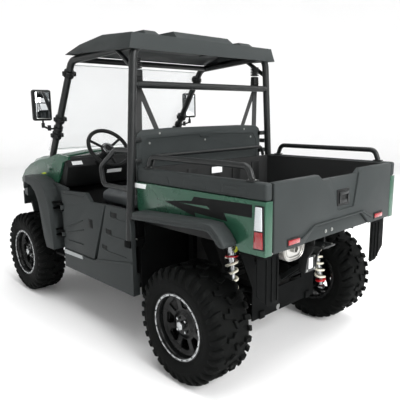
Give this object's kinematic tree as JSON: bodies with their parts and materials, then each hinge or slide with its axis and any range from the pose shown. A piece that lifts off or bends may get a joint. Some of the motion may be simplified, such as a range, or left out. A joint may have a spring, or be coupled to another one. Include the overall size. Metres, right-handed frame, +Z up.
{
  "type": "side by side utility vehicle",
  "caption": "Open two-seat utility vehicle with a tubular cab, roof, windscreen, half doors, tilting cargo bed with drop tailgate, steered front wheels and lug-tread tyres.",
  "frame": {"origin": "centre of the bounding box at ground level", "axes": "front faces -Y, the vehicle's left side is +X, +Z is up; it stands on its wheels at Z = 0"},
  "size_m": [1.5774, 2.94, 1.988],
  "materials": {
    "green_paint": "satin",
    "black_plastic": "grained",
    "black_steel": "satin",
    "dark_metal": "cast",
    "silver_metal": "satin",
    "seat_vinyl": "grained",
    "clear_screen": "clear",
    "white_lens": "gloss",
    "red_lens": "gloss",
    "belt_webbing": "woven",
    "tyre_rubber": "matte",
    "ivory_spring": "satin"
  },
  "bodies": {
    "chassis": {"frame_rails": "black_steel", "front_bulkheads": "black_steel", "rear_subframe": "black_steel", "roll_cage": "black_steel", "side_bars": "black_steel", "front_arms": "black_steel", "rear_arms": "black_steel", "floor_pan": "black_plastic", "seat_box": "black_plastic", "cab_back_panel": "black_plastic", "roof_panel": "black_plastic", "side_mirrors": "black_plastic", "front_bumper": "black_plastic", "front_fenders": "black_plastic", "dashboard": "black_plastic", "side_sills": "black_plastic", "seat_cushions": "seat_vinyl", "seat_backs": "seat_vinyl", "windscreen": "clear_screen", "seat_belts": "belt_webbing", "front_cowl": "green_paint", "headlamps": "white_lens", "engine": "dark_metal", "tow_hitch": "dark_metal", "drivetrain": "dark_metal", "muffler": "silver_metal", "front_shocks": "ivory_spring", "rear_shocks": "ivory_spring"},
    "wheel_front_left": {"tyre_front_left": "tyre_rubber", "rim_front_left": "black_steel"},
    "wheel_front_right": {"tyre_front_right": "tyre_rubber", "rim_front_right": "black_steel"},
    "wheel_rear_left": {"tyre_rear_left": "tyre_rubber", "rim_rear_left": "black_steel"},
    "wheel_rear_right": {"tyre_rear_right": "tyre_rubber", "rim_rear_right": "black_steel"},
    "knuckle_left": {"knuckle_left": "dark_metal"},
    "knuckle_right": {"knuckle_right": "dark_metal"},
    "steering_rods": {"steering_rods": "silver_metal"},
    "steering_wheel": {"steering_wheel": "black_plastic"},
    "door_left": {"door_left": "black_plastic"},
    "door_right": {"door_right": "black_plastic"},
    "hood": {"hood": "green_paint"},
    "bed": {"bed_tub": "black_plastic", "bed_sides": "green_paint", "bed_caps": "black_plastic", "bed_flares": "black_plastic", "bed_rails": "black_steel", "mud_flaps": "black_plastic", "tail_lamps": "red_lens"},
    "tailgate": {"tailgate": "black_plastic"},
    "strut_tube": {"strut_tube": "silver_metal"},
    "strut_rod": {"strut_rod": "silver_metal"}
  },
  "joints": [
    {"name": "wheel_front_left_spin", "type": "hinge", "parent": "knuckle_left", "child": "wheel_front_left", "pos_m": [0.569, -1.045, 0.33], "axis": [1, 0, 0], "continuous": true},
    {"name": "wheel_front_right_spin", "type": "hinge", "parent": "knuckle_right", "child": "wheel_front_right", "pos_m": [-0.569, -1.045, 0.33], "axis": [1, 0, 0], "continuous": true},
    {"name": "wheel_rear_left_spin", "type": "hinge", "parent": "chassis", "child": "wheel_rear_left", "pos_m": [0.601, 0.955, 0.33], "axis": [1, 0, 0], "continuous": true},
    {"name": "wheel_rear_right_spin", "type": "hinge", "parent": "chassis", "child": "wheel_rear_right", "pos_m": [-0.601, 0.955, 0.33], "axis": [1, 0, 0], "continuous": true},
    {"name": "steer_left", "type": "hinge", "parent": "chassis", "child": "knuckle_left", "pos_m": [0.569, -1.045, 0.33], "axis": [0, 0, 1], "range_deg": [-28, 28]},
    {"name": "steer_right", "type": "hinge", "parent": "chassis", "child": "knuckle_right", "pos_m": [-0.569, -1.045, 0.33], "axis": [0, 0, 1], "range_deg": [-28, 28]},
    {"name": "steering_rods_slide", "type": "slide", "parent": "chassis", "child": "steering_rods", "axis": [1, 0, 0], "range_m": [-0.042, 0.042]},
    {"name": "steering_wheel_turn", "type": "hinge", "parent": "chassis", "child": "steering_wheel", "pos_m": [0.33, -0.299, 1.215], "axis": [0, 0.788, 0.6157], "range_deg": [-255, 255]},
    {"name": "door_left_hinge", "type": "hinge", "parent": "chassis", "child": "door_left", "pos_m": [0.699, -0.384, 0.6], "axis": [0, 0, -1], "range_deg": [0, 65]},
    {"name": "door_right_hinge", "type": "hinge", "parent": "chassis", "child": "door_right", "pos_m": [-0.699, -0.384, 0.6], "axis": [0, 0, 1], "range_deg": [0, 65]},
    {"name": "hood_hinge", "type": "hinge", "parent": "chassis", "child": "hood", "pos_m": [0.18, -1.382, 0.886], "axis": [1, 0, 0], "range_deg": [0, 60]},
    {"name": "bed_tilt", "type": "hinge", "parent": "chassis", "child": "bed", "pos_m": [0, 1.33, 0.775], "axis": [-1, 0, 0], "range_deg": [0, 40]},
    {"name": "tailgate_hinge", "type": "hinge", "parent": "bed", "child": "tailgate", "pos_m": [0, 1.458, 0.813], "axis": [-1, 0, 0], "range_deg": [0, 90]},
    {"name": "strut_tube_pivot", "type": "hinge", "parent": "chassis", "child": "strut_tube", "pos_m": [0, 0.955, 0.45], "axis": [-1, 0, 0], "range_deg": [-4, 4]},
    {"name": "strut_rod_slide", "type": "slide", "parent": "strut_tube", "child": "strut_rod", "axis": [0, 0.3496, 0.9369], "range_m": [0, 0.18]}
  ],
  "couplings": [
    {"joint": "steer_right", "follows": "steer_left", "ratio": 1},
    {"joint": "steering_rods_slide", "follows": "steer_left", "m_per_rad": -0.085},
    {"joint": "steering_wheel_turn", "follows": "steer_left", "ratio": 9},
    {"joint": "strut_tube_pivot", "follows": "bed_tilt", "ratio": -0.02},
    {"joint": "strut_rod_slide", "follows": "bed_tilt", "m_per_rad": 0.2449}
  ]
}
